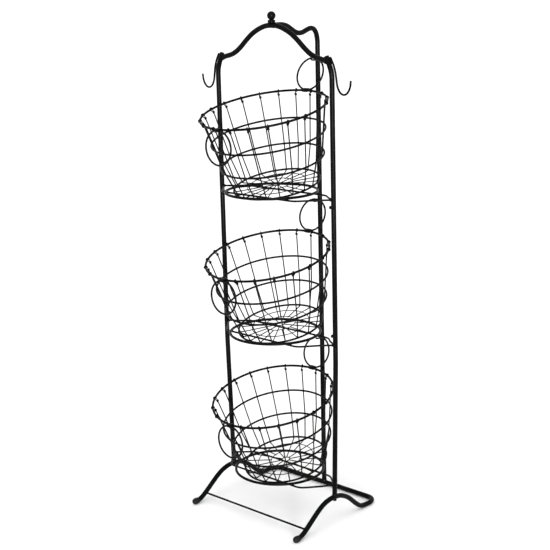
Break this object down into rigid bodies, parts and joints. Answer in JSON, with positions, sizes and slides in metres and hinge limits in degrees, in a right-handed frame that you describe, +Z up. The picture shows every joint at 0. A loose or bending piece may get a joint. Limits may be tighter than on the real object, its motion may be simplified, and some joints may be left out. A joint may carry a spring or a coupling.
{
  "type": "wire produce basket stand",
  "caption": "Free-standing tiered wire produce basket stand: tubular frame with arched top and looped base, tilted round lift-out wire baskets with ring handles, and side hooks.",
  "frame": {"origin": "centre of the bounding box at floor level, where the base loop and foot caps stand", "axes": "+Z up; -Y is the front, the way the baskets lean; +X to the right when facing +Y; X = 0 is the plane of symmetry"},
  "size_m": [0.4694, 0.3563, 1.216],
  "materials": {
    "frame_tube": "satin black powder coat on steel tube",
    "tray_wire": "satin black powder coat on steel wire",
    "basket_wire": "satin black powder coat on steel wire",
    "handle_wire": "satin black powder coat on steel wire",
    "screw": "black oxide screw head",
    "foot_cap": "matte black vinyl"
  },
  "bodies": {
    "stand": {"base_loop": "frame_tube", "finial": "frame_tube", "foot_cap_left": "foot_cap", "foot_cap_right": "foot_cap", "front_arch": "frame_tube", "front_crossbar": "frame_tube", "lower_post_left": "frame_tube", "lower_post_rear": "frame_tube", "lower_post_right": "frame_tube", "middle_post_left": "frame_tube", "middle_post_rear": "frame_tube", "middle_post_right": "frame_tube", "rear_hook_bottom": "frame_tube", "rear_hook_middle": "frame_tube", "rear_hook_top": "frame_tube", "side_hook_left": "frame_tube", "side_hook_right": "frame_tube", "tray_front_wire_bottom": "tray_wire", "tray_front_wire_middle": "tray_wire", "tray_front_wire_top": "tray_wire", "tray_rear_wire_bottom": "tray_wire", "tray_rear_wire_middle": "tray_wire", "tray_rear_wire_top": "tray_wire", "tray_ring_bottom": "tray_wire", "tray_ring_middle": "tray_wire", "tray_ring_top": "tray_wire", "tray_screw_middle_left": "screw", "tray_screw_middle_right": "screw", "tray_screw_top_left": "screw", "tray_screw_top_right": "screw", "upper_post_left": "frame_tube", "upper_post_rear": "frame_tube", "upper_post_right": "frame_tube"},
    "basket_bottom": {"rim_bottom": "basket_wire", "upper_hoop_bottom": "basket_wire", "lower_hoop_bottom": "basket_wire", "base_hoop_bottom": "basket_wire", "wire_cage_bottom": "basket_wire", "handle_clip_front_bottom": "basket_wire", "handle_clip_rear_bottom": "basket_wire"},
    "handle_front_bottom": {"ring_handle_front_bottom": "handle_wire"},
    "handle_rear_bottom": {"ring_handle_rear_bottom": "handle_wire"},
    "basket_middle": {"rim_middle": "basket_wire", "upper_hoop_middle": "basket_wire", "lower_hoop_middle": "basket_wire", "base_hoop_middle": "basket_wire", "wire_cage_middle": "basket_wire", "handle_clip_front_middle": "basket_wire", "handle_clip_rear_middle": "basket_wire"},
    "handle_front_middle": {"ring_handle_front_middle": "handle_wire"},
    "handle_rear_middle": {"ring_handle_rear_middle": "handle_wire"},
    "basket_top": {"rim_top": "basket_wire", "upper_hoop_top": "basket_wire", "lower_hoop_top": "basket_wire", "base_hoop_top": "basket_wire", "wire_cage_top": "basket_wire", "handle_clip_front_top": "basket_wire", "handle_clip_rear_top": "basket_wire"},
    "handle_front_top": {"ring_handle_front_top": "handle_wire"},
    "handle_rear_top": {"ring_handle_rear_top": "handle_wire"}
  },
  "joints": [
    {"name": "basket_bottom_lift_out", "type": "slide", "parent": "stand", "child": "basket_bottom", "axis": [0, -0.8988, 0.4384], "range_m": [0, 0.105]},
    {"name": "handle_front_bottom_swing", "type": "hinge", "parent": "basket_bottom", "child": "handle_front_bottom", "pos_m": [0.004, -0.17148, 0.26247], "axis": [-1, 0, 0], "range_deg": [-18, 180]},
    {"name": "handle_rear_bottom_swing", "type": "hinge", "parent": "basket_bottom", "child": "handle_rear_bottom", "pos_m": [0.004, 0.12987, 0.3326], "axis": [1, 0, 0], "range_deg": [0, 50]},
    {"name": "basket_middle_lift_out", "type": "slide", "parent": "stand", "child": "basket_middle", "axis": [0, -0.8746, 0.4848], "range_m": [0, 0.105]},
    {"name": "handle_front_middle_swing", "type": "hinge", "parent": "basket_middle", "child": "handle_front_middle", "pos_m": [0, -0.17371, 0.61653], "axis": [-1, 0, 0], "range_deg": [-18, 180]},
    {"name": "handle_rear_middle_swing", "type": "hinge", "parent": "basket_middle", "child": "handle_rear_middle", "pos_m": [0, 0.12812, 0.68455], "axis": [1, 0, 0], "range_deg": [0, 50]},
    {"name": "basket_top_lift_out", "type": "slide", "parent": "stand", "child": "basket_top", "axis": [0, -0.8988, 0.4384], "range_m": [0, 0.3]},
    {"name": "handle_front_top_swing", "type": "hinge", "parent": "basket_top", "child": "handle_front_top", "pos_m": [0, -0.17376, 0.9621], "axis": [-1, 0, 0], "range_deg": [-18, 180]},
    {"name": "handle_rear_top_swing", "type": "hinge", "parent": "basket_top", "child": "handle_rear_top", "pos_m": [0, 0.12854, 1.02802], "axis": [1, 0, 0], "range_deg": [0, 50]}
  ]
}
